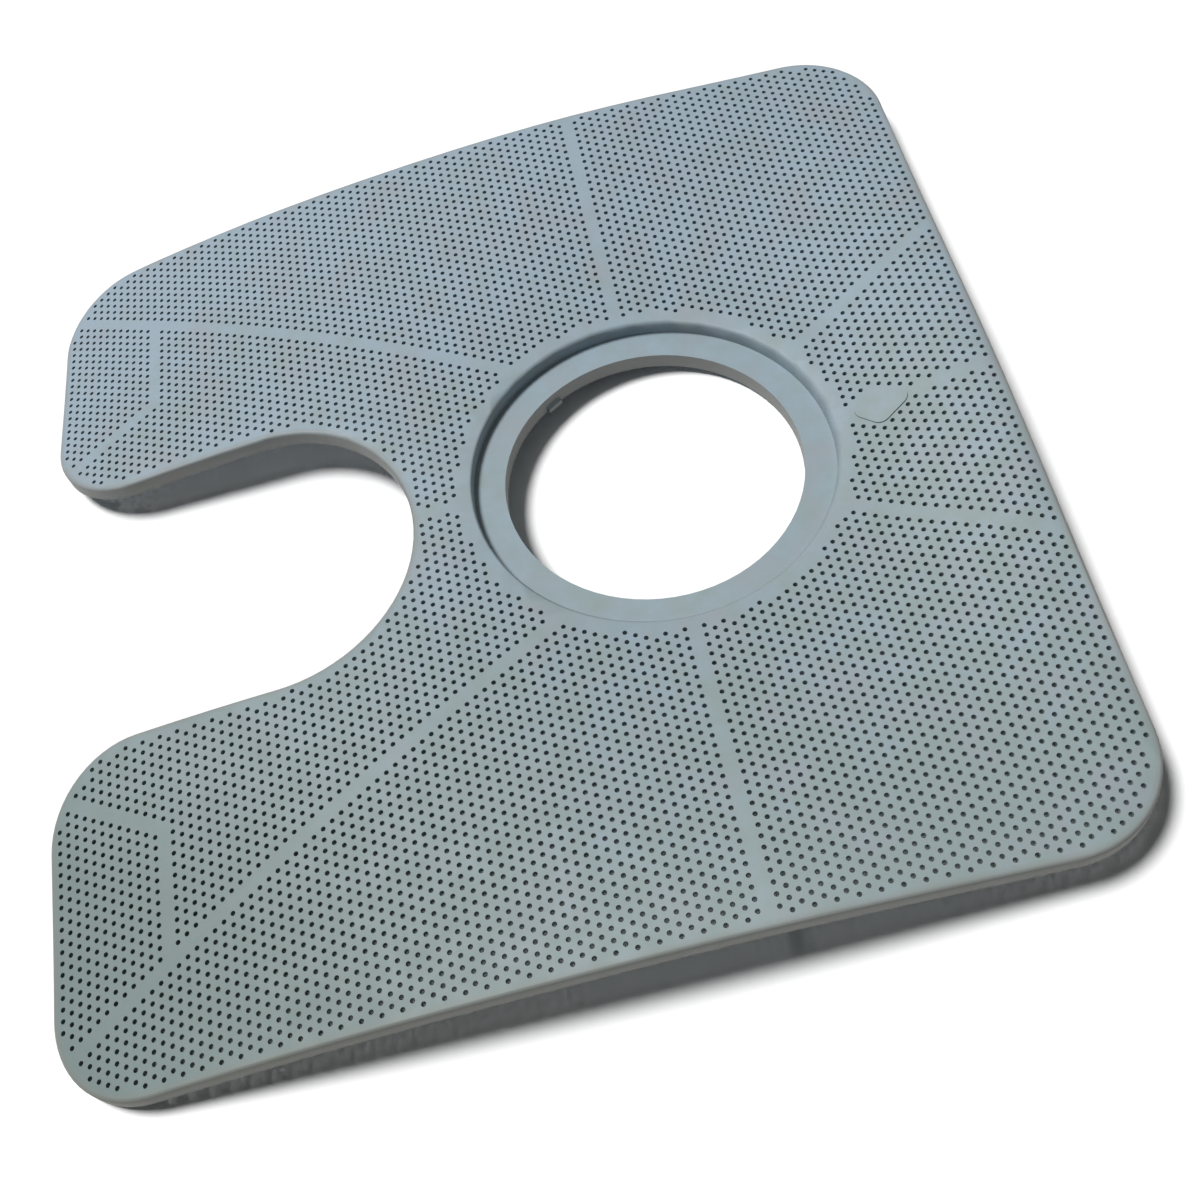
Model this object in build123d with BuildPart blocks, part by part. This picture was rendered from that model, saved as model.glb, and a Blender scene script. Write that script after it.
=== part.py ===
"""Dishwasher filter plate: one moulded sheet of plastic, dished toward a round seat for the filter cup.

Millimetres. Z is the axis of the seat and points up. The origin is on that axis, on the ledge that carries the cup.
X runs from the open notch (negative) to the rear edge (positive). Both sides of the XZ
plane are alike, apart from the two nibs, which stand on one diagonal of the bore.
"""
import math
import os

from build123d import *

os.makedirs("parts", exist_ok=True)

# Plan of the plate.
plate_length = 281.5
plate_width = 284.0
rear_reach = 99.0  # seat axis to the rear edge
corner_r = 27.0  # four outer corners and the two corners at the notch's mouth
notch_width = 87.0  # slot that clears the spray arm's foot, with a half-round end
neck_width = 18.0  # plastic left between the notch and the seat recess

# Wall thicknesses.
web = 2.0  # perforated sheet
rim_depth = 5.0  # rim and ribs, measured down from the top surface
rim_wall = 1.6
rib_width = 2.4
edge_break = 1.0  # upper edges of the outline and of the recess

# Dished form: heights over the level ground round the seat.
side_rise = 7.5  # both sides
rear_rise = 11.1  # middle of the rear edge
flat_r = 54.0  # level ground round the seat
dish_power = 1.5  # how softly the dish rises from that ground
arm_drop = 15.0  # how far the arms sink at their tips
arm_power = 2.0  # how sharply the arms bend down
arm_start = 36.0  # distance in front of the seat axis where the bend begins
twist_run = 85.0  # distance in front of the seat axis where the side rise has turned to nothing

# Seat for the cup.
bore_r = 43.0
recess_r = 52.0
recess_depth = 4.5
ledge = 2.0
collar_wall = 2.2
collar_depth = 5.0  # height of the wall of the bore
recess_wall = 2.6
boss_lap = 0.6  # how far the boss runs into the panels
nib_reach = 1.2  # how far the locking nibs stand into the bore
nib_width = 5.0
nib_height = 2.6
nib_angle = 124.0  # first nib, the second stands opposite

# Holes: a hexagonal lattice on each half, with its columns across the plate.
pitch = 3.0
hole_d = 1.3
first_row = 0.83  # first row beside the middle line
hole_sides = 8  # the small holes are drawn with flat sides
open_columns = 8  # one lattice column in this many has its holes opened
open_rows = 7  # and in it, one row in this many

# Lattice lines left plain, with a rib below, counted in pitches.
front_rib_row = 8  # oblique ribs toward the arms
arm_rib_column = -57
tip_rib_row = 53

# Raised pointer beside the seat.
pointer_near = 57.5  # distances from the seat axis
pointer_wide = 64.5
pointer_far = 76.5
pointer_half = 7.0
pointer_height = 0.4
pointer_round = 3.0

# Worked out from the above.
half_width = plate_width / 2
front_reach = plate_length - rear_reach
notch_r = notch_width / 2
notch_apex = recess_r + neck_width
notch_centre = notch_apex + notch_r
arm_run = front_reach - arm_start
column = pitch * math.sqrt(3) / 2
oblique = math.tan(math.radians(30))
hole_r = hole_d / 2
seat_wall_r = recess_r + recess_wall
collar_z = -collar_depth
far = plate_length + plate_width  # past the plate in every direction


def top_height(x, y):
    """Height of the dished top surface over the ledge."""
    r = max(math.hypot(x, y), 1e-6)
    spread = ((max(x, 0) / rear_reach) ** 4 + (abs(y) / half_width) ** 4) ** 0.25
    edge = r / max(spread, 1e-6)
    way = min(max((r - flat_r) / max(edge - flat_r, 1.0), 0), 1)
    rise = side_rise + (rear_rise - side_rise) * (max(x, 0) / r) ** 4
    fade = 1 + min(x, 0) / twist_run
    bend = max(-x - arm_start, 0) / arm_run
    return recess_depth + rise * math.sin(math.pi / 2 * way) ** dish_power * fade - arm_drop * bend**arm_power


def sheet(lift):
    """The top surface as one smooth face, moved up by lift."""
    margin = 8.0
    steps = 15
    x0, x1 = -front_reach - margin, rear_reach + margin
    y0, y1 = -half_width - margin, half_width + margin
    grid = []
    for i in range(steps + 1):
        x = x0 + (x1 - x0) * i / steps
        ys = [y0 + (y1 - y0) * j / steps for j in range(steps + 1)]
        grid.append([Vector(x, y, top_height(x, y) + lift) for y in ys])
    return Face.make_surface_from_array_of_points(grid, tol=0.3, min_deg=3, max_deg=3)


# Meeting points of the ribs in the arms.
arm_rib_x = arm_rib_column * column
arm_rib_top = first_row + front_rib_row * pitch - oblique * arm_rib_x
arm_rib_low = first_row + tip_rib_row * pitch + oblique * arm_rib_x

rib_lines = [((-far, 0), (far, 0)), ((0, -far), (0, far))]
for side in (1, -1):
    row = side * (first_row + front_rib_row * pitch)
    tip = side * (first_row + tip_rib_row * pitch)
    rib_lines.append(((0, side * first_row), (far, side * (first_row + oblique * far))))
    rib_lines.append(((0, row), (-far, row + side * oblique * far)))
    rib_lines.append(((arm_rib_x, side * arm_rib_top), (arm_rib_x, side * arm_rib_low)))
    rib_lines.append(((arm_rib_x, side * arm_rib_low), (-far, tip - side * oblique * far)))


def rib_clear(x, y):
    """Distance from a point to the nearest rib's middle line."""
    best = far
    for (ax, ay), (bx, by) in rib_lines:
        dx, dy = bx - ax, by - ay
        t = min(max(((x - ax) * dx + (y - ay) * dy) / (dx * dx + dy * dy), 0), 1)
        best = min(best, math.hypot(x - ax - t * dx, y - ay - t * dy))
    return best


def on_plate(x, y, margin):
    """Whether a point lies inside the outline, at least this far from its edge."""
    dx = max(abs(x - (rear_reach - front_reach) / 2) - plate_length / 2 + corner_r, 0)
    dy = max(abs(y) - half_width + corner_r, 0)
    inside = math.hypot(dx, dy) < corner_r - margin
    mouth_x, mouth_y = -front_reach + corner_r, notch_r + corner_r
    if x < mouth_x and abs(y) < mouth_y:
        return math.hypot(x - mouth_x, abs(y) - mouth_y) < corner_r - margin
    in_slot = abs(y) < notch_r + margin if x < -notch_centre else math.hypot(x + notch_centre, y) < notch_r + margin
    return inside and not in_slot


def open_sites():
    """Lattice sites in the opened columns and rows that lie on the thin sheet."""
    margin = rim_wall + hole_d
    sites = []
    for i in range(-math.ceil(front_reach / column), math.ceil(rear_reach / column)):
        for j in range(math.ceil(half_width / pitch)):
            if i % open_columns or j % open_rows:
                continue
            x = i * column
            y = first_row + (j + (i % 2) / 2) * pitch
            on_sheet = math.hypot(x, y) > seat_wall_r + hole_d and rib_clear(x, y) > rib_width / 2 + hole_d
            on_pointer = pointer_near < x < pointer_far and y < pointer_half + hole_d
            if on_plate(x, y, margin) and on_sheet and not on_pointer:
                sites += [(x, y), (x, -y)]
    return sites


# Outline: rounded square, less the slot, with the corners at its mouth rounded too.
with BuildSketch() as outline:
    with Locations(((rear_reach - front_reach) / 2, 0)):
        RectangleRounded(plate_length, plate_width, corner_r)
    with Locations((-notch_centre - far / 2, 0)):
        Rectangle(far, notch_width, mode=Mode.SUBTRACT)
    with Locations((-notch_centre, 0)):
        Circle(notch_r, mode=Mode.SUBTRACT)
    mouth = [v for v in outline.vertices() if abs(abs(v.Y) - notch_r) < 1e-3 and v.X < -front_reach + 1e-3]
    fillet(mouth, corner_r)

# Panels between the ribs, where the sheet is thin.
with BuildSketch() as panels:
    add(outline.sketch)
    offset(amount=-rim_wall, kind=Kind.INTERSECTION, mode=Mode.REPLACE)
    Circle(seat_wall_r - boss_lap, mode=Mode.SUBTRACT)
    for start, end in rib_lines:
        run = Vector(*end) - Vector(*start)
        middle = (Vector(*start) + Vector(*end)) * 0.5
        with Locations(Location(middle, (0, 0, math.degrees(math.atan2(run.Y, run.X))))):
            Rectangle(run.length, rib_width, mode=Mode.SUBTRACT)

# Straight prisms over the whole plan, which the dished sheets are cut with.
with BuildPart() as outline_prism:
    with BuildSketch(Plane.XY.offset(-far / 2)):
        add(outline.sketch)
    extrude(amount=far)

# Room below the sheet in every panel.
with BuildPart() as panel_room:
    with BuildSketch(Plane.XY.offset(-far / 2)):
        add(panels.sketch)
    extrude(amount=far)
    extrude(to_extrude=sheet(-web), amount=far, dir=(0, 0, -1), mode=Mode.INTERSECT)

# Pointer, a thin lozenge with round corners that follows the sheet.
with BuildPart() as pointer:
    with BuildSketch(Plane.XY.offset(-far / 2)):
        with BuildLine():
            Polyline(
                (pointer_near, 0),
                (pointer_wide, pointer_half),
                (pointer_far, 0),
                (pointer_wide, -pointer_half),
                close=True,
            )
        lozenge = make_face()
        fillet(lozenge.vertices(), pointer_round)
    extrude(amount=far)
    extrude(to_extrude=sheet(pointer_height), amount=pointer_height + web / 2, dir=(0, 0, -1), mode=Mode.INTERSECT)

# Locking nib at the foot of the bore's wall, on the X axis.
with BuildPart() as nib:
    with BuildSketch(Plane.XZ.offset(-nib_width / 2)):
        with BuildLine():
            Polyline(
                (bore_r + collar_wall / 2, collar_z),
                (bore_r - nib_reach, collar_z),
                (bore_r - nib_reach, collar_z + nib_height / 2),
                (bore_r + collar_wall / 2, collar_z + nib_height),
                close=True,
            )
        make_face()
    extrude(amount=nib_width)

with BuildPart() as filter_plate:
    # Thick sheet in the dished form, cut to the outline, with its upper edge broken.
    extrude(to_extrude=sheet(0), amount=rim_depth, dir=(0, 0, -1))
    add(outline_prism.part, mode=Mode.INTERSECT)
    top_face = filter_plate.faces().sort_by(Face.area)[-2:].sort_by(Axis.Z)[-1]
    chamfer(top_face.outer_wire().edges(), edge_break)

    # Thin panels, with the rim and the ribs left between them, and the pointer.
    add(panel_room.part, mode=Mode.SUBTRACT)
    add(pointer.part)

    # Seat: boss, collar, recess, bore and nibs.
    with Locations((0, 0, -ledge)):
        Cylinder(seat_wall_r, ledge + recess_depth - web / 2, align=(Align.CENTER, Align.CENTER, Align.MIN))
    with Locations((0, 0, collar_z)):
        Cylinder(bore_r + collar_wall, collar_depth - ledge / 2, align=(Align.CENTER, Align.CENTER, Align.MIN))
    Cylinder(recess_r, far, align=(Align.CENTER, Align.CENTER, Align.MIN), mode=Mode.SUBTRACT)
    Cylinder(bore_r, far, mode=Mode.SUBTRACT)
    with PolarLocations(0, 2, start_angle=nib_angle):
        add(nib.part)
    with Locations((0, 0, recess_depth)):
        Cone(recess_r, recess_r + 2 * edge_break, 2 * edge_break, mode=Mode.SUBTRACT)

    # Holes of the sheet.
    with BuildSketch(Plane.XY.offset(-far / 2)):
        with Locations(*open_sites()):
            RegularPolygon(hole_r, hole_sides)
    extrude(amount=far, mode=Mode.SUBTRACT)

filter_plate.part.label = "filter_plate"
export_step(filter_plate.part, "parts/filter_plate.step")
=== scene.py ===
# %% [markdown]
# # A dishwasher's filter plate
# The real thing is one moulding of pale blue-grey plastic. It is dished toward a round seat that takes
# the filter cup, and some seven thousand small holes go through it. The solid model gives the form, the
# rim, the ribs and the seat. This lesson opens all of the holes, gives the plastic its finish and sets up
# a plain white studio.

# %% Load the solid model
import math

import bmesh
import bpy
import numpy as np
from mathutils import Matrix, Vector
from mathutils.bvhtree import BVHTree


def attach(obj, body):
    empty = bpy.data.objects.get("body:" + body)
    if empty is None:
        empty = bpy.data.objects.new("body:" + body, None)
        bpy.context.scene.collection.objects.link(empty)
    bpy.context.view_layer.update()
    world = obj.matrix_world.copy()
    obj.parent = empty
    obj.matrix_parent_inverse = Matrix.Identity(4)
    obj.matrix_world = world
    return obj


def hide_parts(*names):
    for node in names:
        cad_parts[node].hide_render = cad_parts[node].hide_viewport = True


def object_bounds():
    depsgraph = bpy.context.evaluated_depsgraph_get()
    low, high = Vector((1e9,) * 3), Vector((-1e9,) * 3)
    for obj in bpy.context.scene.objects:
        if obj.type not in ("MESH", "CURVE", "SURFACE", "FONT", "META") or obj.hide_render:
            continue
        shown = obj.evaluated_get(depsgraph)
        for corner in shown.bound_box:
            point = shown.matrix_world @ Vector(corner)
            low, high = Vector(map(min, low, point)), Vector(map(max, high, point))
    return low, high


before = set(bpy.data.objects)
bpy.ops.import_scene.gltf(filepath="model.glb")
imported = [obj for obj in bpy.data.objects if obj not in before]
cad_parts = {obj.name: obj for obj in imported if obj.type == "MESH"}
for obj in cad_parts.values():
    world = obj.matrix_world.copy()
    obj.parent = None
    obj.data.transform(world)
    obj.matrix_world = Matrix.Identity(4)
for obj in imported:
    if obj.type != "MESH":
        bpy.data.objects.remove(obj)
cad_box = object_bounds()
low, high = cad_box
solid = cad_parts["filter_plate"]


def rounded(box):
    """The two corners of a box, short enough to print."""
    return [tuple(round(v, 4) for v in corner) for corner in box]


def add_object(name, data):
    """A new object in the scene, for a mesh, a light or a camera."""
    made = bpy.data.objects.new(name, data)
    bpy.context.scene.collection.objects.link(made)
    return made


print("solid plate:", len(solid.data.polygons), "facets, box", rounded(cad_box))

# %% [markdown]
# ## Camera
# The photograph was taken from the near side, about a third of a metre above the plate, with the plate a
# little askew in the picture. The camera therefore gets a place, a line of sight and an upright
# direction, and its three axes are worked out from those.

# %% Camera
camera_place = Vector((-0.0196, -0.2484, 0.3338))
sight = Vector((-0.0081, 0.5320, -0.8467)).normalized()
upright = Vector((0.2178, 0.8273, 0.5178))
photo_width_px = 1200
focal_length_px = 1450

rightward = sight.cross(upright).normalized()
upward = rightward.cross(sight)
axes = Matrix((rightward, upward, -sight)).transposed()
camera_data = bpy.data.cameras.new("photo_camera")
camera_data.angle = 2 * math.atan(photo_width_px / 2 / focal_length_px)
camera = add_object("photo_camera", camera_data)
camera.matrix_world = Matrix.Translation(camera_place) @ axes.to_4x4()
bpy.context.scene.camera = camera
print("camera angle of view:", round(math.degrees(camera_data.angle), 1), "degrees")

# %% [markdown]
# ## A short way to write node trees
# Both finishes and geometry in Blender are node trees. Two small classes make them readable: `Value`
# wraps a socket, so that `1 - mask` adds a Math node, and `Tree.node` makes any other node from its type,
# its settings and what goes into its sockets. Three kinds of node come up so often that they get a word
# of their own.


# %% Node helpers
class Value:
    """A socket of a node tree, with arithmetic."""

    def __init__(self, tree, socket):
        self.tree = tree
        self.socket = socket

    def out(self, name):
        return Value(self.tree, self.socket.node.outputs[name])

    def maths(self, operation, first, second=0.0):
        return self.tree.node("ShaderNodeMath", {"operation": operation}, {0: first, 1: second})

    def __add__(self, other):
        return self.maths("ADD", self, other)

    def __radd__(self, other):
        return self.maths("ADD", other, self)

    def __sub__(self, other):
        return self.maths("SUBTRACT", self, other)

    def __rsub__(self, other):
        return self.maths("SUBTRACT", other, self)

    def __mul__(self, other):
        return self.maths("MULTIPLY", self, other)

    def __rmul__(self, other):
        return self.maths("MULTIPLY", other, self)

    def __truediv__(self, other):
        return self.maths("DIVIDE", self, other)

    def __mod__(self, other):
        return self.maths("FLOORED_MODULO", self, other)

    def __lt__(self, other):
        return self.maths("LESS_THAN", self, other)

    def __gt__(self, other):
        return self.maths("GREATER_THAN", self, other)

    def __abs__(self):
        return self.maths("ABSOLUTE", self)

    def floor(self):
        return self.maths("FLOOR", self)

    def root(self):
        return self.maths("SQRT", self)

    def most(self, other):
        return self.maths("MAXIMUM", self, other)

    def least(self, other):
        return self.maths("MINIMUM", self, other)


class Tree:
    """A node tree that nodes are added to."""

    def __init__(self, node_tree):
        self.node_tree = node_tree

    def node(self, kind, settings=None, inputs=None):
        made = self.node_tree.nodes.new(kind)
        for name, setting in (settings or {}).items():
            setattr(made, name, setting)
        for name, value in (inputs or {}).items():
            if isinstance(value, Value):
                self.node_tree.links.new(value.socket, made.inputs[name])
            else:
                made.inputs[name].default_value = value
        first = next((s for s in made.outputs if s.enabled), None)
        return Value(self, first)

    def split(self, vector):
        """The three coordinates of a vector."""
        parts = self.node("ShaderNodeSeparateXYZ", None, {0: vector})
        return parts.out("X"), parts.out("Y"), parts.out("Z")

    def join(self, x, y, z=0.0):
        """A vector from its coordinates."""
        return self.node("ShaderNodeCombineXYZ", None, {"X": x, "Y": y, "Z": z})

    def share(self, value, none_at, all_at):
        """How far a value has come from one number to another, between 0 and 1."""
        inputs = {"Value": value, "From Min": none_at, "From Max": all_at}
        return self.node("ShaderNodeMapRange", None, inputs)


def new_material(name):
    """A material with an empty node tree."""
    material = bpy.data.materials.new(name)
    material.use_nodes = True
    material.node_tree.nodes.clear()
    return material, Tree(material.node_tree)


print("node helpers ready")

# %% [markdown]
# ## The plastic
# Filters like this are moulded in polypropylene: a satin, slightly waxy surface. Flow in the mould and
# hot water leave soft, wide patches that lean to blue, to green or to rose. The near side is painted
# greener and darker than the far side, and its arm darkest of all: painted shade, where less light falls.
# The patches are soft noises that mix one colour into another, and the painted shade follows from the
# place on the plate.

# %% Colour of the top
blue_grey = (0.272, 0.350, 0.412, 1)
green_grey = (0.240, 0.300, 0.302, 1)
rose_grey = (0.272, 0.310, 0.344, 1)
# painted shade: the darker grey of the near arm
dull_grey = (0.158, 0.208, 0.204, 1)

# Noise scales: about how many lumps there are to a metre.
patch_scale = 22.0
rose_scale = 65.0
cloud_scale = 140.0
grain_scale = 2600.0
noise_roughness = 0.55
noise_detail = 2.0
patch_detail = 3.0

# Levels at which a colour starts to take over, and at which it has done so.
green_start = 0.33
green_full = 0.67
# painted shade: more of the darker green toward the near side
near_shade_lean = 1.2  # added for each metre toward the near side
rose_start = 0.50
rose_full = 0.72
rose_share = 0.8
# painted shade: how far into the near arm its darker grey takes over
arm_shade_full = 0.014  # distances from the seat's axis, along times across
speckle = 0.14

# Places of the colour sockets on a Mix node.
first_colour = 6
second_colour = 7
mixed_colour = 2


def noise(tree, place, scale, detail=noise_detail):
    """Soft noise between 0 and 1."""
    inputs = {"Vector": place, "Scale": scale, "Detail": detail, "Roughness": noise_roughness}
    return tree.node("ShaderNodeTexNoise", None, inputs)


def mix(tree, share, first, second):
    """The first colour with a share of the second in it."""
    inputs = {"Factor": share, first_colour: first, second_colour: second}
    return tree.node("ShaderNodeMix", {"data_type": "RGBA"}, inputs).out(mixed_colour)


def top_colour(tree, place, clouds, grain):
    """Patches of blue, green and rose, painted shade on the near side and its arm, and the speckle."""
    along, across, _ = tree.split(place)
    patches = noise(tree, place, patch_scale, patch_detail)
    # painted shade: the near side leans to the darker green
    green = tree.share((patches + clouds) / 2 - across * near_shade_lean, green_start, green_full)
    rose = tree.share(noise(tree, place, rose_scale), rose_start, rose_full)
    # painted shade: the near arm is painted darkest
    near_arm_shade = tree.share(along * across, 0.0, arm_shade_full) * (across < 0)
    colour = mix(tree, rose * rose_share, mix(tree, green, blue_grey, green_grey), rose_grey)
    colour = mix(tree, near_arm_shade, colour, dull_grey)
    brightness = (1 - speckle / 2) + speckle * grain
    return tree.node("ShaderNodeHueSaturation", None, {"Value": brightness, "Color": colour})


print("top of the plate: from", blue_grey[:3], "to", dull_grey[:3])

# %% [markdown]
# ## Warmer walls and border
# The walls of the rim and the bore, and a narrow border along the outline, are painted a darker, warmer
# grey than the top: a painted reflection of brown surroundings and painted shade. A wall is known by the
# direction it faces. The border needs the distance from the outline, which is worked out from the plan:
# a box with round corners, less a slot with a round end. The walls of the recess and of the small holes
# keep the colour of the top.

# %% Painted reflection and shade
# painted reflection and painted shade: the darker, brownish grey of walls and border
reflection_shade_brown = (0.205, 0.190, 0.160, 1)
wall_start = 0.95  # upward part of a face's direction
wall_full = 0.45
wall_share = 0.68
edge_start = 0.0022  # distance from the outline
edge_full = 0.0006
edge_share = 0.45

# Plan of the plate: round corners, the slot, and the wall of the recess.
corner_r = 0.027
notch_r = 0.0435
notch_centre = -0.1135
recess_middle = 0.0525
recess_band = 0.004


def box_distance(x, y, half_x, half_y):
    """Distance outward from a box with round corners, negative inside it."""
    past_x, past_y = abs(x) - (half_x - corner_r), abs(y) - (half_y - corner_r)
    out_x, out_y = past_x.most(0), past_y.most(0)
    return (out_x * out_x + out_y * out_y).root() + past_x.most(past_y).least(0) - corner_r


def outline_distance(x, y):
    """Distance inward from the plate's outline: the whole plate and its slot, or one of the two arms."""
    from_middle = x - (low.x + high.x) / 2
    half_length = (high.x - low.x) / 2
    arm_half = (high.y - notch_r) / 2
    plate = box_distance(from_middle, y, half_length, high.y)
    arm = box_distance(from_middle, abs(y) - (notch_r + arm_half), half_length, arm_half)
    past = x - notch_centre
    slot_end = notch_r - (past * past + y * y).root()
    in_arm = past < 0
    return 0 - (in_arm * arm + (1 - in_arm) * plate.most(slot_end))


def reflection_shade_share(tree, place):
    """How much painted reflection and shade a place has."""
    along, across, _ = tree.split(place)
    _, _, up = tree.split(tree.node("ShaderNodeNewGeometry").out("Normal"))
    wall = tree.share(abs(up), wall_start, wall_full)
    edge = tree.share(outline_distance(along, across), edge_start, edge_full)
    off_recess = abs((along * along + across * across).root() - recess_middle) > recess_band
    off_hole = 1 - tree.node("ShaderNodeAttribute", {"attribute_name": "hole_wall"}).out("Fac")
    return (wall * wall_share).most(edge * edge_share) * off_recess * off_hole


print("warm border:", edge_start * 1000, "mm wide")

# %% [markdown]
# ## The whole finish
# The top colour and the painted reflection and shade of the walls are mixed, the clouds make some places
# a little more satin than others, and the fine grain of the mould is a bump of about a hundredth of a
# millimetre.

# %% Plastic finish
least_roughness = 0.48
roughness_spread = 0.14
bump_strength = 0.12
bump_depth = 0.0001
cloud_bump = 0.4
plastic_ior = 1.46


def make_plastic():
    """Satin plastic, with colour, roughness and bump from noise."""
    material, tree = new_material("satin_plastic")
    place = tree.node("ShaderNodeTexCoord").out("Object")
    clouds = noise(tree, place, cloud_scale)
    grain = noise(tree, place, grain_scale)
    top = top_colour(tree, place, clouds, grain)
    bump = tree.node(
        "ShaderNodeBump",
        None,
        {"Strength": bump_strength, "Distance": bump_depth, "Height": grain + clouds * cloud_bump},
    )
    shader = tree.node(
        "ShaderNodeBsdfPrincipled",
        None,
        {
            # painted reflection and shade on the walls and along the border
            "Base Color": mix(tree, reflection_shade_share(tree, place), top, reflection_shade_brown),
            "Roughness": least_roughness + roughness_spread * clouds,
            "Normal": bump,
            "IOR": plastic_ior,
        },
    )
    tree.node("ShaderNodeOutputMaterial", None, {"Surface": shader})
    return material


plastic = make_plastic()
print("finish:", plastic.name, "with", len(plastic.node_tree.nodes), "nodes")

# %% [markdown]
# ## A clean copy of the solid
# The solid's mesh stays as it is. A copy of it is merged into one closed shell, because cutting needs
# that. Edges sharper than 50 degrees stay sharp, and the narrow bevels of the rim and the recess blend
# into the large faces beside them, so that they look round.

# %% Closed copy
sharp_angle = math.radians(50)
merge_distance = 1e-6

shell_mesh = solid.data.copy()
shell_mesh.name = "plate_shell"
work = bmesh.new()
work.from_mesh(shell_mesh)
bmesh.ops.remove_doubles(work, verts=work.verts, dist=merge_distance)
for face in work.faces:
    face.smooth = True
for edge in work.edges:
    edge.smooth = len(edge.link_faces) == 2 and edge.calc_face_angle(0) < sharp_angle
open_edges = sum(1 for e in work.edges if len(e.link_faces) != 2)
work.to_mesh(shell_mesh)
work.free()
shell_mesh.materials.clear()
shell_mesh.materials.append(plastic)
shell = add_object("plate_shell", shell_mesh)
print("closed copy:", len(shell_mesh.polygons), "facets,", open_edges, "open edges")

# %% [markdown]
# ## Where the holes go
# The holes stand on two hexagonal lattices, one on each side of the middle line. A hole is left out
# wherever the sheet has a rib, the rim or the seat below it, or the raised pointer above it. Typing seven
# thousand places would be hopeless, so Geometry Nodes lays out the whole lattice and feels the thickness
# of the plate with rays, from above and from below, at six points round every site. Where all six find
# the thin sheet, outside the plain ring of the seat, a small prism is set there, and one Boolean cuts
# them all.

# %% Sizes of the lattice
pitch = 0.003
column_step = math.sqrt(3) / 2  # in pitches
column = pitch * column_step
ring_points = 6
ray_start = 0.2  # height above and below the plate from which the rays go out
prism_length = 1.8  # in thicknesses of the sheet

lattice_inputs = {
    "Pitch": ("NodeSocketFloat", pitch),
    "First row": ("NodeSocketFloat", 0.00083),
    "Front columns": ("NodeSocketInt", math.ceil(-low.x / column)),
    "Columns": ("NodeSocketInt", math.ceil((high.x - low.x) / column) + 1),
    "Rows": ("NodeSocketInt", math.ceil(high.y / pitch)),
    "Hole radius": ("NodeSocketFloat", 0.000685),
    "Hole sides": ("NodeSocketInt", 10),
    "Sheet": ("NodeSocketFloat", 0.0020),
    "Sheet slack": ("NodeSocketFloat", 0.0003),
    "Land": ("NodeSocketFloat", 0.0003),
    "Seat radius": ("NodeSocketFloat", 0.0562),
    "Finish": ("NodeSocketMaterial", plastic),
}
print("lattice:", lattice_inputs["Columns"][1], "columns of", 2 * lattice_inputs["Rows"][1], "sites")


# %% Node tree for the holes
def lattice_site(tree, given):
    """Place of a site: every index is a side, a row and a column."""
    index = tree.node("GeometryNodeInputIndex")
    side = 1 - 2 * (index % 2)
    along = (index / 2).floor()
    row = along % given.out("Rows")
    step = (along / given.out("Rows")).floor() - given.out("Front columns")
    x = step * given.out("Pitch") * column_step
    y = side * (given.out("First row") + (row + (step % 2) / 2) * given.out("Pitch"))
    return tree.join(x, y)


def ray_level(tree, plate, x, y, start):
    """Whether a ray that goes up or down from its start meets the plate, and at what height."""
    ray = tree.node(
        "GeometryNodeRaycast",
        None,
        {
            "Target Geometry": plate,
            "Source Position": tree.join(x, y, start),
            "Ray Direction": (0, 0, -math.copysign(1, start)),
            "Ray Length": 2 * ray_start,
        },
    )
    _, _, level = tree.split(ray.out("Hit Position"))
    return ray.out("Is Hit"), level


def feel_sheet(tree, given, x, y):
    """Whether the plate is the thin sheet all round a site, and the height of the sheet's middle there."""
    reach = given.out("Hole radius") + given.out("Land")
    thin = 1
    levels = 0
    for k in range(ring_points):
        turn = 2 * math.pi * k / ring_points
        ring_x = x + reach * math.cos(turn)
        ring_y = y + reach * math.sin(turn)
        seen, upper = ray_level(tree, given.out("Plate"), ring_x, ring_y, ray_start)
        _, lower = ray_level(tree, given.out("Plate"), ring_x, ring_y, -ray_start)
        thin = thin * (seen * (abs(upper - lower - given.out("Sheet")) < given.out("Sheet slack")))
        levels = levels + upper + lower
    return thin, levels / (2 * ring_points)


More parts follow.
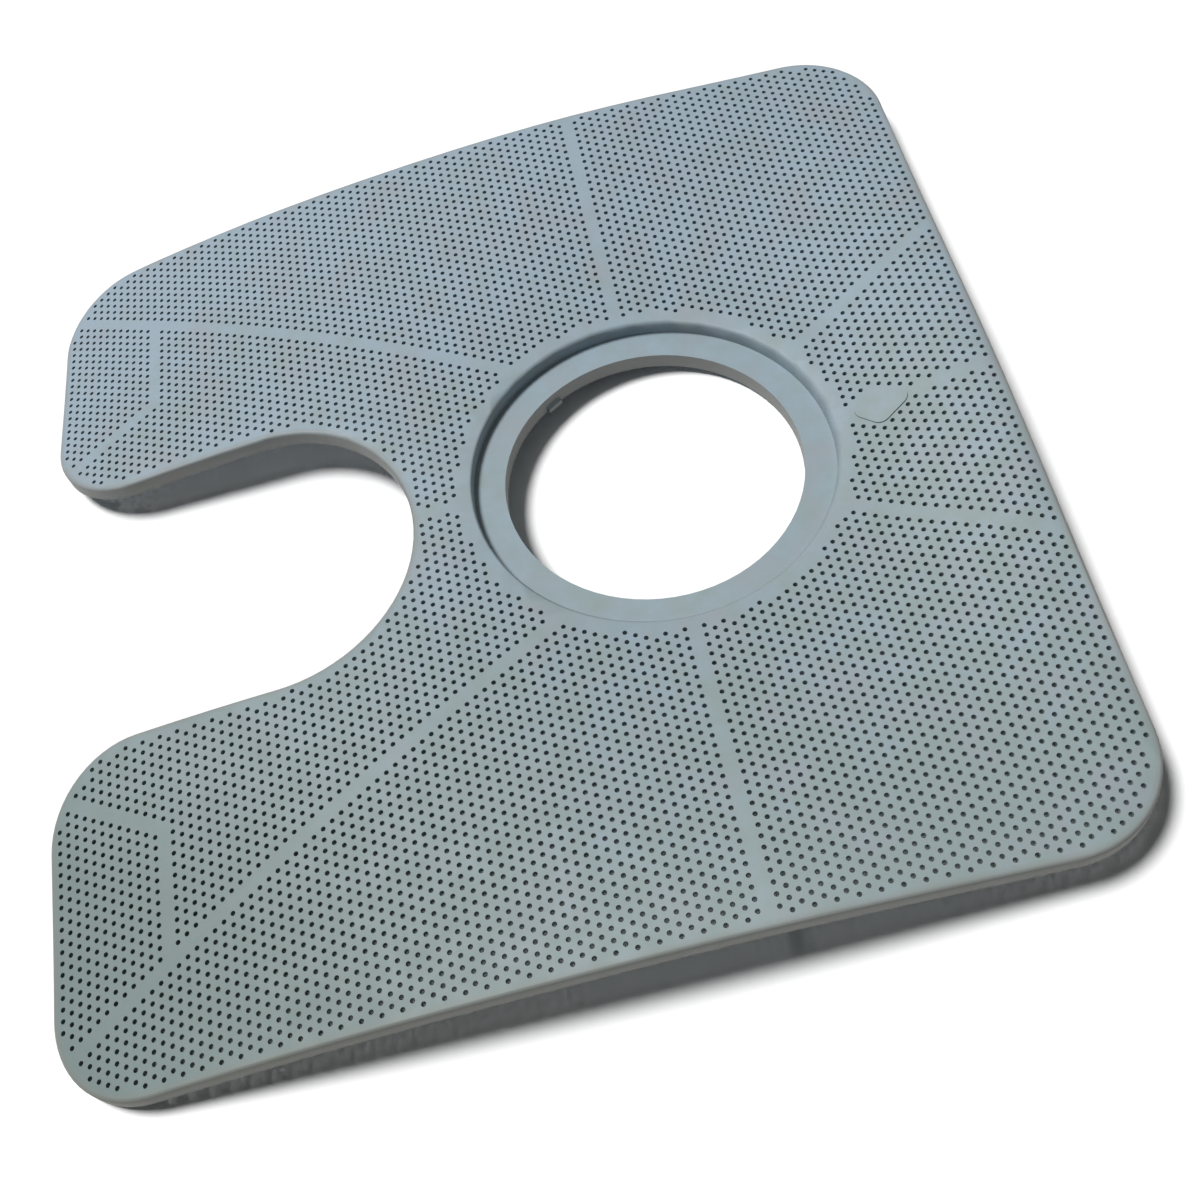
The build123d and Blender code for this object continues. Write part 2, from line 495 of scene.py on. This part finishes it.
def make_hole_tree():
    """A tree that opens the holes of a plate."""
    group = bpy.data.node_groups.new("perforation", "GeometryNodeTree")
    group.interface.new_socket("Plate", in_out="INPUT", socket_type="NodeSocketGeometry")
    for name, (kind, _) in lattice_inputs.items():
        group.interface.new_socket(name, in_out="INPUT", socket_type=kind)
    group.interface.new_socket("Plate", in_out="OUTPUT", socket_type="NodeSocketGeometry")
    tree = Tree(group)
    given = tree.node("NodeGroupInput")

    # Sites on the thin sheet, outside the plain ring of the seat, raised to the middle of the sheet.
    count = 2 * given.out("Columns") * given.out("Rows")
    sites = tree.node("GeometryNodePoints", None, {"Count": count, "Position": lattice_site(tree, given)})
    x, y, _ = tree.split(tree.node("GeometryNodeInputPosition"))
    thin, middle = feel_sheet(tree, given, x, y)
    off_seat = x * x + y * y > given.out("Seat radius") * given.out("Seat radius")
    kept = tree.node(
        "GeometryNodeSeparateGeometry",
        {"domain": "POINT"},
        {"Geometry": sites, "Selection": thin * off_seat},
    )
    centre = tree.join(x, y, middle)
    raised = tree.node("GeometryNodeSetPosition", None, {"Geometry": kept, "Position": centre})

    # A prism at every one of them, and one cut.
    prism = tree.node(
        "GeometryNodeMeshCylinder",
        {"fill_type": "NGON"},
        {
            "Vertices": given.out("Hole sides"),
            "Radius": given.out("Hole radius"),
            "Depth": given.out("Sheet") * prism_length,
        },
    )
    prisms = tree.node("GeometryNodeInstanceOnPoints", None, {"Points": raised, "Instance": prism})
    cutters = tree.node("GeometryNodeRealizeInstances", None, {"Geometry": prisms})
    cut = tree.node(
        "GeometryNodeMeshBoolean",
        {"operation": "DIFFERENCE", "solver": "MANIFOLD"},
        {0: given.out("Plate"), 1: cutters},
    )
    finish = given.out("Finish")
    finished = tree.node("GeometryNodeSetMaterial", None, {"Geometry": cut, "Material": finish})
    tree.node("NodeGroupOutput", None, {"Plate": finished})
    return group


hole_tree = make_hole_tree()
print("hole tree:", len(hole_tree.nodes), "nodes")

# %% [markdown]
# ## Cutting the holes
# The modifier's inputs are set by their identifiers before the plate is first evaluated. The result is
# then read as one plain mesh.

# %% Cut the holes
cut_plate = add_object("cut_plate", shell_mesh.copy())
modifier = cut_plate.modifiers.new("perforation", "NODES")
modifier.node_group = hole_tree
for item in hole_tree.interface.items_tree:
    if item.in_out == "INPUT" and item.name in lattice_inputs:
        modifier[item.identifier] = lattice_inputs[item.name][1]
depsgraph = bpy.context.evaluated_depsgraph_get()
cut_mesh = bpy.data.meshes.new_from_object(cut_plate.evaluated_get(depsgraph))
cut_mesh.calc_loop_triangles()
print("cut plate:", len(cut_mesh.vertices), "points,", len(cut_mesh.loop_triangles), "triangles")

# %% [markdown]
# ## Smooth light on a cut surface
# Cutting leaves long thin triangles, and light on those looks broken. The uncut copy knows the true
# direction of the surface, so every triangle looks up the facet of that copy that it came from and blends
# the directions at the facet's corners. What lies away from the uncut copy is the wall of a hole, which
# gets directions of its own.

# %% Directions of the uncut copy
large_faces_lead = 100
least_length = 1e-12

weighted = shell.modifiers.new("weighted", "WEIGHTED_NORMAL")
weighted.keep_sharp = True
weighted.weight = large_faces_lead
depsgraph = bpy.context.evaluated_depsgraph_get()
shell_result = bpy.data.meshes.new_from_object(shell.evaluated_get(depsgraph))
shell_result.calc_loop_triangles()


def points_of(mesh):
    """Places of a mesh's points, one row each."""
    flat = np.empty(len(mesh.vertices) * 3)
    mesh.vertices.foreach_get("co", flat)
    return flat.reshape(-1, 3)


def triangles_of(mesh, what):
    """Numbers of the points or the corners of a mesh's triangles, one row each."""
    flat = np.empty(len(mesh.loop_triangles) * 3, dtype=np.int64)
    mesh.loop_triangles.foreach_get(what, flat)
    return flat.reshape(-1, 3)


def corner_directions(mesh):
    """Directions at a mesh's corners, one row each."""
    flat = np.empty(len(mesh.loops) * 3)
    mesh.corner_normals.foreach_get("vector", flat)
    return flat.reshape(-1, 3)


def unit(vectors):
    """Vectors at a length of one."""
    return vectors / np.maximum(np.linalg.norm(vectors, axis=-1, keepdims=True), least_length)


shell_points = points_of(shell_result)
shell_tris = triangles_of(shell_result, "vertices")
shell_dirs = corner_directions(shell_result)[triangles_of(shell_result, "loops")]
finder = BVHTree.FromPolygons([tuple(p) for p in shell_points], [tuple(t) for t in shell_tris])
print("uncut copy:", len(shell_tris), "triangles to look up")

# %% Directions of the cut plate
wall_distance = 2e-5
least_area = 1e-30

points = points_of(cut_mesh)
tris = triangles_of(cut_mesh, "vertices")
corners = points[tris]
centres = corners.mean(axis=1)
found = [finder.find_nearest(Vector(c)) for c in centres]
source = np.array([facet for _, _, facet, _ in found])
is_wall = np.array([gap for _, _, _, gap in found]) > wall_distance


def dot(first, second):
    """Products of vectors, row by row."""
    return (first * second).sum(1)


def corner_shares(places, facets):
    """How much each corner of a facet counts at a place on it."""
    edge_a, edge_b = facets[:, 1] - facets[:, 0], facets[:, 2] - facets[:, 0]
    a_by_a, a_by_b, b_by_b = dot(edge_a, edge_a), dot(edge_a, edge_b), dot(edge_b, edge_b)
    area = np.maximum(a_by_a * b_by_b - a_by_b * a_by_b, least_area)
    offset = places - facets[:, 0]
    by_a, by_b = dot(offset, edge_a), dot(offset, edge_b)
    share_a = np.clip((b_by_b * by_a - a_by_b * by_b) / area, 0, 1)
    share_b = np.clip((a_by_a * by_b - a_by_b * by_a) / area, 0, 1)
    return np.stack([np.clip(1 - share_a - share_b, 0, 1), share_a, share_b], axis=1)


directions = np.empty((len(tris), 3, 3))
for k in range(3):
    shares = corner_shares(corners[:, k], shell_points[shell_tris[source]])
    directions[:, k] = (shell_dirs[source] * shares[:, :, None]).sum(1)

flat_dirs = unit(np.cross(corners[:, 1] - corners[:, 0], corners[:, 2] - corners[:, 0]))
wall_sum = np.zeros_like(points)
for k in range(3):
    np.add.at(wall_sum, tris[is_wall, k], flat_dirs[is_wall])
directions[is_wall] = wall_sum[tris[is_wall]]
directions = unit(directions)
print("hole walls:", int(is_wall.sum()), "triangles; surface:", int((~is_wall).sum()))

# %% [markdown]
# ## Two halves of one plate
# All the holes in one mesh make more triangles than is handy in one piece, so the plate is kept as a near
# and a far half. They share every point on the line where they meet, and the same directions there, so no
# seam shows. The triangles in the walls of the holes are marked, because the finish asks for them.

# %% Far and near half
for helper in (cut_plate, shell):
    bpy.data.objects.remove(helper)

far_side = centres[:, 1] >= 0
for name, chosen in (("plate_far_half", far_side), ("plate_near_half", ~far_side)):
    used, local = np.unique(tris[chosen], return_inverse=True)
    mesh = bpy.data.meshes.new(name)
    mesh.from_pydata(points[used].tolist(), [], local.reshape(-1, 3).tolist())
    mesh.materials.append(plastic)
    mesh.shade_smooth()
    mesh.normals_split_custom_set(directions[chosen].reshape(-1, 3).tolist())
    hole_wall = mesh.attributes.new("hole_wall", "FLOAT", "FACE")
    hole_wall.data.foreach_set("value", is_wall[chosen].astype(np.float32))
    half = add_object(name, mesh)
    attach(half, "root")
    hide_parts("filter_plate")
    print(name, len(mesh.vertices), "points,", len(mesh.polygons), "triangles")

# %% [markdown]
# ## Floor
# The plate rests on the tips of its arms and on the foot of the seat's collar. The floor is laid against
# those: it starts at the lowest point and rises as steeply as it can without cutting the plate. It is
# white for the camera and in reflections, and still takes the shadow.

# %% Floor
floor_half = 3.0
floor_gap = 0.0002
floor_grey = 0.8  # for light that bounces from it
arm_tip = 0.05  # length of the tips, which the slope is measured past

lowest = points[points[:, 2].argmin()]
behind = points[points[:, 0] > lowest[0] + arm_tip]
slope = ((behind[:, 2] - lowest[2]) / (behind[:, 0] - lowest[0])).min()


def floor_height(x):
    """Height of the floor at a distance along the plate."""
    return lowest[2] + slope * (x - lowest[0]) - floor_gap


def white_where_seen(tree, otherwise):
    """One for the camera and in reflections, and another level for all other light."""
    rays = tree.node("ShaderNodeLightPath")
    seen = rays.out("Is Camera Ray") + rays.out("Is Glossy Ray") + rays.out("Is Transmission Ray")
    return tree.node("ShaderNodeMapRange", None, {"Value": seen, "To Min": otherwise, "To Max": 1.0})


def make_floor_finish():
    """Matt white, a little greyer for the light that it sends back."""
    material, tree = new_material("white_floor")
    level = white_where_seen(tree, floor_grey)
    white = tree.node("ShaderNodeCombineColor", None, {"Red": level, "Green": level, "Blue": level})
    matt = tree.node("ShaderNodeBsdfDiffuse", None, {"Color": white})
    tree.node("ShaderNodeOutputMaterial", None, {"Surface": matt})
    return material


floor_corners = []
for side_x, side_y in ((-1, -1), (1, -1), (1, 1), (-1, 1)):
    x, y = side_x * floor_half, side_y * floor_half
    floor_corners.append((x, y, floor_height(x)))
floor_mesh = bpy.data.meshes.new("floor")
floor_mesh.from_pydata(floor_corners, [], [(0, 1, 2, 3)])
floor_mesh.materials.append(make_floor_finish())
floor = add_object("floor", floor_mesh)
print("floor slope:", round(math.degrees(math.atan(slope)), 2), "degrees")

# %% [markdown]
# ## Light
# The shadow in the photograph falls to the right and toward the viewer, so the main light comes from the
# left of the plate and somewhat behind it. It stands low enough that only about a fifth of what meets a
# hole falls straight through, so the shadow stays dark, and it is a sun with a wide disc, so the floor is
# lit evenly and the shadow has a soft edge. A pale world fills the rest. Together they add up to about
# one on the floor, so that a colour renders about as it is written.

# %% Light
sun_height = math.radians(65)
sun_side = math.radians(62)
sun_disc = math.radians(18)
sun_share = 0.95
fill_share = 0.08

toward_sun = Vector((
    -math.sin(sun_side) * math.cos(sun_height),
    math.cos(sun_side) * math.cos(sun_height),
    math.sin(sun_height),
))
sun_data = bpy.data.lights.new("main_light", "SUN")
sun_data.angle = sun_disc
sun_data.energy = sun_share * math.pi / math.sin(sun_height)
sun = add_object("main_light", sun_data)
sun.location = toward_sun
sun.rotation_euler = (-toward_sun).to_track_quat("-Z", "Y").to_euler()

world = bpy.data.worlds.new("studio")
bpy.context.scene.world = world
world.use_nodes = True
world.node_tree.nodes.clear()
sky = Tree(world.node_tree)
strength = white_where_seen(sky, fill_share)
air = sky.node("ShaderNodeBackground", None, {"Color": (1, 1, 1, 1), "Strength": strength})
sky.node("ShaderNodeOutputWorld", None, {"Surface": air})
bpy.context.scene.view_settings.view_transform = "Standard"
print("main light:", round(sun_data.energy, 2), "W per square metre")
